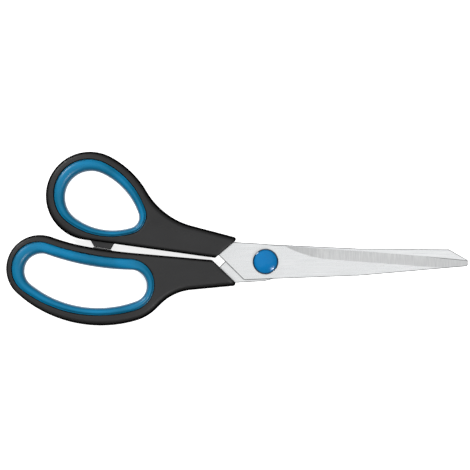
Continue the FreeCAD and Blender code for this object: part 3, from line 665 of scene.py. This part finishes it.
def levelness(tree, at_sides, on_flats, reach):
    """A value for where the skin turns down at the sides, going over to another for the flats. The reach is
    the two upward shares of the normal between which it changes."""
    skin = add(tree, "ShaderNodeNewGeometry")
    upward = add(tree, "ShaderNodeSeparateXYZ", {"Vector": skin.outputs["Normal"]}).outputs["Z"]
    flat = add(tree, "ShaderNodeMath", {0: upward}, operation="ABSOLUTE").outputs[0]
    return add(tree, "ShaderNodeMapRange", {
        "Value": flat, "From Min": reach[0], "From Max": reach[1], "To Min": at_sides, "To Max": on_flats,
    }).outputs["Result"]


def painted_rim_shade(tree, rim, face, reach):
    """The colour of the face, going over to the rim's darker colour where the skin turns down: painted
    shade.
    """
    return add(tree, "ShaderNodeMix", {
        0: levelness(tree, 0.0, 1.0, reach), 6: linear(rim), 7: face}, data_type="RGBA").outputs[2]


def moulded_abs():
    """ABS, injection moulded in a spark-eroded mould: black, with a fine even texture that dulls its gloss
    and faint cloudy flow marks. Its rolled edges are painted darker and given hardly a sheen: painted shade
    where they turn away from the light. The real grain of 0.1 mm is drawn at 0.7 mm, so that it shows."""
    material, tree, shader = new_material("moulded_abs_black", IOR=1.53)
    reach = (0.7, 0.995)
    fine = grain(tree, 0.7, 0.7, 0.7, detail=3.0)
    face = tint(tree, grain(tree, 22, 14, 14), "#1c1c1d", "#242425")
    # painted shade: the rolled edges are painted near black and lose their sheen where they turn from the
    # light
    tree.links.new(painted_rim_shade(tree, "#060606", face, reach), shader.inputs["Base Color"])
    tree.links.new(levelness(tree, 0.0, 0.36, reach), shader.inputs["Specular IOR Level"])
    roughen(tree, shader, (fine, 0.42, 0.56))
    emboss(tree, shader, fine, 0.035, 0.5)
    return material


def overmoulded_rubber():
    """Thermoplastic rubber, moulded over the handle: satin blue with a soft broad sheen, painted darker
    where it turns down as painted shade, with a slightly mottled skin and a fine velvet grain, drawn at 0.6
    mm."""
    material, tree, shader = new_material("overmoulded_rubber_blue", IOR=1.5, Specular_IOR_Level=0.28)
    fine = grain(tree, 0.6, 0.6, 0.6, detail=3.0)
    face = tint(tree, grain(tree, 12, 12, 8), "#00668a", "#0078a6")
    # painted shade: the liner goes over to a darker blue where its skin turns away from the light
    tree.links.new(painted_rim_shade(tree, "#044e6c", face, (0.45, 0.97)), shader.inputs["Base Color"])
    roughen(tree, shader, (fine, 0.26, 0.36))
    emboss(tree, shader, fine, 0.025, 0.3)
    return material


def ground_steel(name, length, width, dark, light, roughness):
    """Hardened stainless steel, ground and fine brushed: the marks are long and narrow streaks, which draw
    the reflections out across them. Streaks of 0.05 mm are drawn 0.4 mm wide, so that they show."""
    material, tree, shader = new_material(name, Metallic=1.0)
    streak = grain(tree, length, width, 6.0, detail=4.0)
    cloud = grain(tree, 30, 12, 6.0)
    tree.links.new(tint(tree, streak, dark, light), shader.inputs["Base Color"])
    roughen(tree, shader, (streak, roughness - 0.05, roughness + 0.05), (cloud, -0.03, 0.03))
    emboss(tree, shader, streak, 0.008, 0.3)
    return material


def glossy_cap():
    """Polypropylene, moulded in a polished mould: bright blue with a soft gloss and very faint waves, and a
    rim painted darker as painted shade where the shoulder turns away from the light."""
    material, tree, shader = new_material("moulded_cap_blue", IOR=1.49, Specular_IOR_Level=0.24)
    wave = grain(tree, 5.0, 5.0, 5.0)
    face = tint(tree, wave, "#006fac", "#0077b6")
    # painted shade: the shoulder goes over to a dark navy where it turns down
    tree.links.new(painted_rim_shade(tree, "#02283f", face, (0.72, 0.995)), shader.inputs["Base Color"])
    roughen(tree, shader, (wave, 0.14, 0.18))
    emboss(tree, shader, wave, 0.01, 0.08)
    return material


def plain_small_part(name, metallic, dark, light, roughness):
    """A small turned or stamped part: even finish with faint tool marks 0.3 mm apart."""
    material, tree, shader = new_material(name, Metallic=metallic)
    marks = grain(tree, 1.5, 1.5, 0.3)
    tree.links.new(tint(tree, marks, dark, light), shader.inputs["Base Color"])
    roughen(tree, shader, (marks, roughness - 0.05, roughness + 0.05))
    emboss(tree, shader, marks, 0.01, 0.3)
    return material


def lit_table():
    """Opal acrylic, lit evenly from below as on a product table: white, and it washes the shadows out."""
    material, tree, shader = new_material(
        "opal_acrylic_table", Roughness=0.9, Emission_Color=(1, 1, 1, 1), Emission_Strength=TABLE_GLOW)
    tone = grain(tree, 60, 60, 60)
    tree.links.new(tint(tree, tone, "#f4f4f4", "#f8f8f8"), shader.inputs["Base Color"])
    return material


# --------------------------------------------------------------------------- the object
black, rubber, cap_blue = moulded_abs(), overmoulded_rubber(), glossy_cap()
for side in ("thumb", "finger"):
    half = side + "_half"
    put_mesh(side + "_handle_moulding", *handle(side), half, "handle_plastic", black, side + "_handle")
    put_mesh(side + "_loop_liner", *liner(side), half, "grip_rubber", rubber, side + "_grip")

steels = [
    ground_steel("stainless_flat_brushed", 14.0, 0.4, "#ebedee", "#f2f3f4", 0.28),
    ground_steel("stainless_bevel_ground", 0.5, 6.0, "#d6d7d8", "#e8e9e9", 0.38),
    # rougher edge steel painted dark grey: painted shade and dark reflection on the sides and broken edges
    ground_steel("stainless_broken_edge_painted_shade", 3.0, 0.6, "#3a3c3e", "#484a4c", 0.42),
]
blade("front_blade", "thumb_half", steels)
blade("rear_blade", "finger_half", steels)

put_mesh("front_cap_dome", *lathe(front_cap_profile()), "finger_half", "cap_plastic", cap_blue, "front_cap")
put_mesh("rear_cap_disc", *lathe(rear_cap_profile()), "finger_half", "cap_plastic", cap_blue, "rear_cap")

nickel = plain_small_part("nickel_plated_steel", 1.0, "#b4b2ac", "#c2c0ba", 0.28)
nylon = plain_small_part("natural_nylon", 0.0, "#dcdad2", "#e6e4dd", 0.45)
for node, material in (("pivot_screw", nickel), ("spring_washer", nickel), ("pivot_nut", nickel),
                       ("glide_washer", nylon)):
    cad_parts[node].data.materials.clear()
    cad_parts[node].data.materials.append(material)

# --------------------------------------------------------------------------- table, light and camera
floor_mesh = bpy.data.meshes.new("table")
floor_mesh.from_pydata([(-TABLE_HALF, -TABLE_HALF, 0), (TABLE_HALF, -TABLE_HALF, 0),
                        (TABLE_HALF, TABLE_HALF, 0), (-TABLE_HALF, TABLE_HALF, 0)], [], [(0, 1, 2, 3)])
floor_mesh.materials.append(lit_table())
floor = bpy.data.objects.new("table", floor_mesh)
bpy.context.scene.collection.objects.link(floor)


def softbox(name, place, size, power):
    """A square soft light that looks at the pivot."""
    lamp = bpy.data.lights.new(name, "AREA")
    lamp.size = size
    lamp.energy = power
    item = bpy.data.objects.new(name, lamp)
    item.location = place
    item.rotation_euler = (-item.location).to_track_quat("-Z", "Y").to_euler()
    bpy.context.scene.collection.objects.link(item)


softbox("overhead", (-0.3, 0.7, 2.6), size=2.8, power=14)
softbox("key", (-1.2, 1.2, 0.95), size=0.36, power=28)
softbox("glint", (0.6, -0.6, 1.3), size=0.2, power=9)
world = bpy.data.worlds.new("studio")
world.use_nodes = True
world.node_tree.nodes["Background"].inputs["Color"].default_value = (1, 1, 1, 1)
world.node_tree.nodes["Background"].inputs["Strength"].default_value = SURROUND_GLOW
bpy.context.scene.world = world
bpy.context.scene.view_settings.view_transform = "Standard"

lens = bpy.data.cameras.new("camera")
lens.lens_unit = "FOV"
lens.angle = 2 * math.atan(0.5 * VIEW_WIDTH / VIEW_HEIGHT)
camera = bpy.data.objects.new("camera", lens)
camera.location = (VIEW_X, VIEW_Y, VIEW_HEIGHT + THICK * MM / 2)
bpy.context.scene.collection.objects.link(camera)
bpy.context.scene.camera = camera
